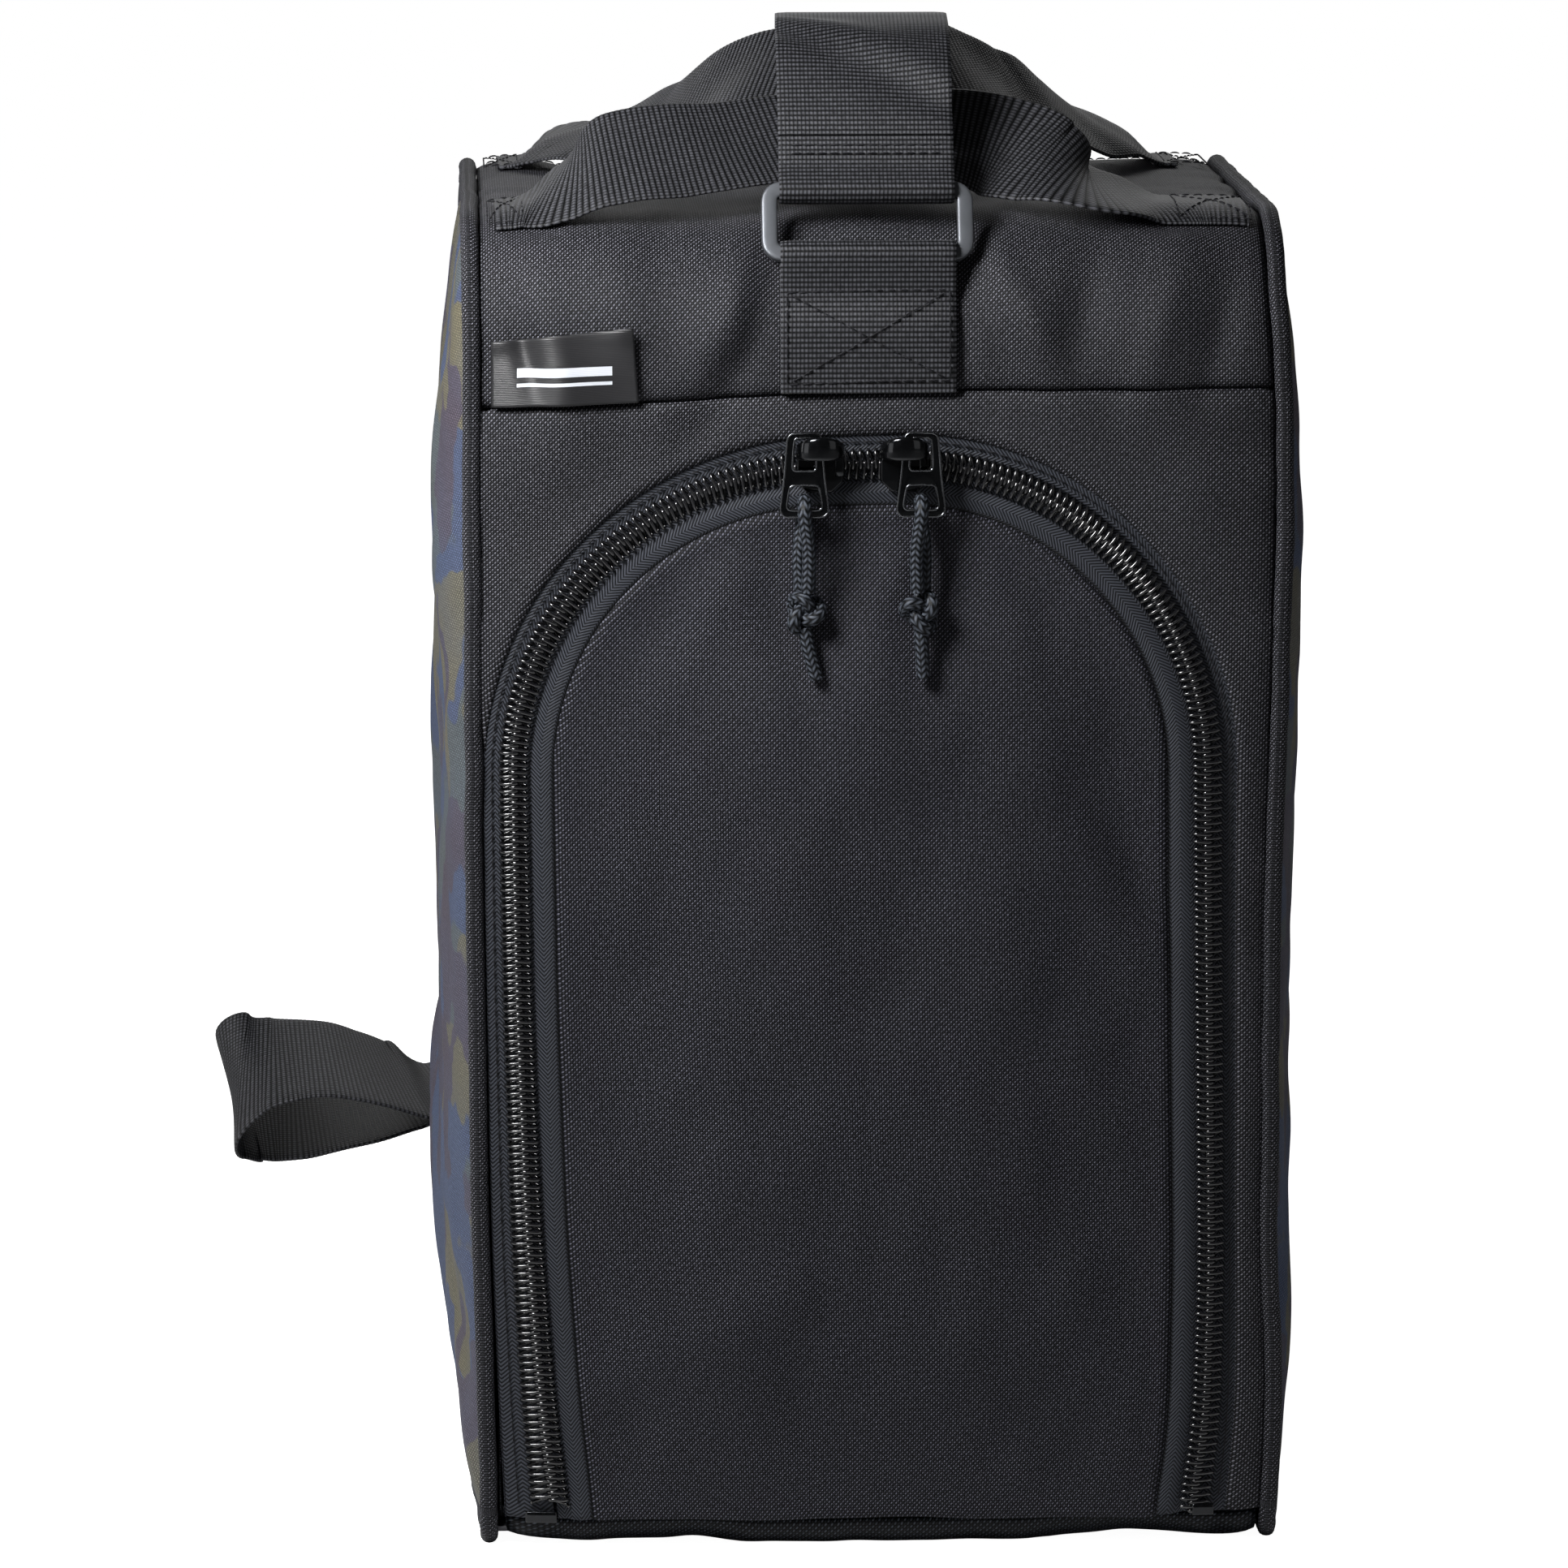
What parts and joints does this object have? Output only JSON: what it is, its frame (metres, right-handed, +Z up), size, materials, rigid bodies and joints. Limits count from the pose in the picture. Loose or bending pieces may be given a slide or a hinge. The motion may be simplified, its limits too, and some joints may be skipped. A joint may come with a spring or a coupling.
{
  "type": "boot bag",
  "caption": "Tall padded boot bag with an arched zip flap, piped camouflage sides, webbing handles and a ringed shoulder strap.",
  "frame": {"origin": "centre of the base's underside, between the side seams, 170 mm behind the front face", "axes": "+Z up, +X to the right seen from the front, the zip flap and the yoke face -Y"},
  "size_m": [0.3237, 0.3949, 0.441],
  "materials": {
    "gusset_cloth": "black coated polyester weave",
    "flap_cloth": "blue-black coated polyester weave",
    "camo_cloth": "printed camouflage polyester weave",
    "base_cloth": "coated tarpaulin",
    "lining_cloth": "thin grey lining",
    "foam": "closed-cell foam",
    "board": "stiff plastic sheet",
    "webbing": "ribbed polyester webbing",
    "zip_tape": "herringbone tape",
    "zip_coil": "polished nylon coil",
    "label": "woven label with two plain stripes",
    "ring_metal": "gunmetal, satin",
    "slider_metal": "glossy black",
    "paracord": "braided cord"
  },
  "bodies": {
    "root": {"back_foam": "foam", "back_panel": "gusset_cloth", "back_ring_tab": "webbing", "base_board": "board", "base_panel": "base_cloth", "body_zip_coil": "zip_coil", "body_zip_tape": "zip_tape", "brand_label": "label", "front_panel": "gusset_cloth", "front_ring_tab": "webbing", "left_piping": "gusset_cloth", "left_side_foam": "foam", "left_side_panel": "camo_cloth", "left_zip_stop": "slider_metal", "lining": "lining_cloth", "right_piping": "gusset_cloth", "right_side_foam": "foam", "right_side_panel": "camo_cloth", "right_zip_stop": "slider_metal", "shoulder_strap": "webbing", "top_panel": "gusset_cloth"},
    "flap": {"flap_panel": "flap_cloth", "flap_lining": "lining_cloth", "flap_zip_tape": "zip_tape", "flap_zip_coil": "zip_coil"},
    "left_slider": {"left_slider": "slider_metal"},
    "right_slider": {"right_slider": "slider_metal"},
    "left_puller": {"left_puller": "slider_metal"},
    "right_puller": {"right_puller": "slider_metal"},
    "left_cord": {"left_pull_cord": "paracord", "left_cord_knot": "paracord", "left_cord_tail": "paracord"},
    "right_cord": {"right_pull_cord": "paracord", "right_cord_knot": "paracord", "right_cord_tail": "paracord"},
    "front_ring": {"front_ring": "ring_metal", "front_strap_end": "webbing"},
    "back_ring": {"back_ring": "ring_metal", "back_strap_end": "webbing"},
    "front_handle": {"front_handle": "webbing"},
    "back_handle": {"back_handle": "webbing"}
  },
  "joints": [
    {"name": "flap_fold", "type": "hinge", "parent": "root", "child": "flap", "pos_m": [0, -0.1703, 0.0078], "axis": [1, 0, 0], "range_deg": [0, 85]},
    {"name": "left_slider_travel", "type": "hinge", "parent": "flap", "child": "left_slider", "pos_m": [-0.016, -0.17, 0.2275], "axis": [0, -1, 0], "range_deg": [0, 90]},
    {"name": "left_puller_swing", "type": "hinge", "parent": "left_slider", "child": "left_puller", "pos_m": [-0.0206, -0.1795, 0.32], "axis": [0, -1, 0], "range_deg": [-90, 0]},
    {"name": "left_cord_swing", "type": "hinge", "parent": "left_puller", "child": "left_cord", "pos_m": [-0.0206, -0.1795, 0.3011], "axis": [-1, 0, 0], "range_deg": [0, 90]},
    {"name": "right_slider_travel", "type": "hinge", "parent": "flap", "child": "right_slider", "pos_m": [0.008, -0.17, 0.2275], "axis": [0, 1, 0], "range_deg": [0, 90]},
    {"name": "right_puller_swing", "type": "hinge", "parent": "right_slider", "child": "right_puller", "pos_m": [0.0126, -0.1795, 0.32], "axis": [0, 1, 0], "range_deg": [-90, 0]},
    {"name": "right_cord_swing", "type": "hinge", "parent": "right_puller", "child": "right_cord", "pos_m": [0.0126, -0.1795, 0.3011], "axis": [-1, 0, 0], "range_deg": [0, 90]},
    {"name": "front_ring_swing", "type": "hinge", "parent": "root", "child": "front_ring", "pos_m": [-0.002, -0.16746, 0.37605], "axis": [1, 0, 0], "range_deg": [0, 45], "deforming": ["shoulder_strap"]},
    {"name": "back_ring_swing", "type": "hinge", "parent": "root", "child": "back_ring", "pos_m": [-0.002, 0.07788, 0.33021], "axis": [1, 0, 0], "range_deg": [0, 20], "deforming": ["shoulder_strap"]},
    {"name": "front_handle_fold", "type": "hinge", "parent": "root", "child": "front_handle", "pos_m": [0, -0.133, 0.388], "axis": [-1, 0, 0], "range_deg": [0, 45], "deforming": ["front_handle", "shoulder_strap"]},
    {"name": "back_handle_fold", "type": "hinge", "parent": "root", "child": "back_handle", "pos_m": [0, 0.011, 0.388], "axis": [1, 0, 0], "range_deg": [-12, 12], "deforming": ["back_handle", "shoulder_strap"]}
  ],
  "couplings": [
    {"joint": "left_puller_swing", "follows": "left_slider_travel", "ratio": -1},
    {"joint": "right_puller_swing", "follows": "right_slider_travel", "ratio": -1}
  ]
}
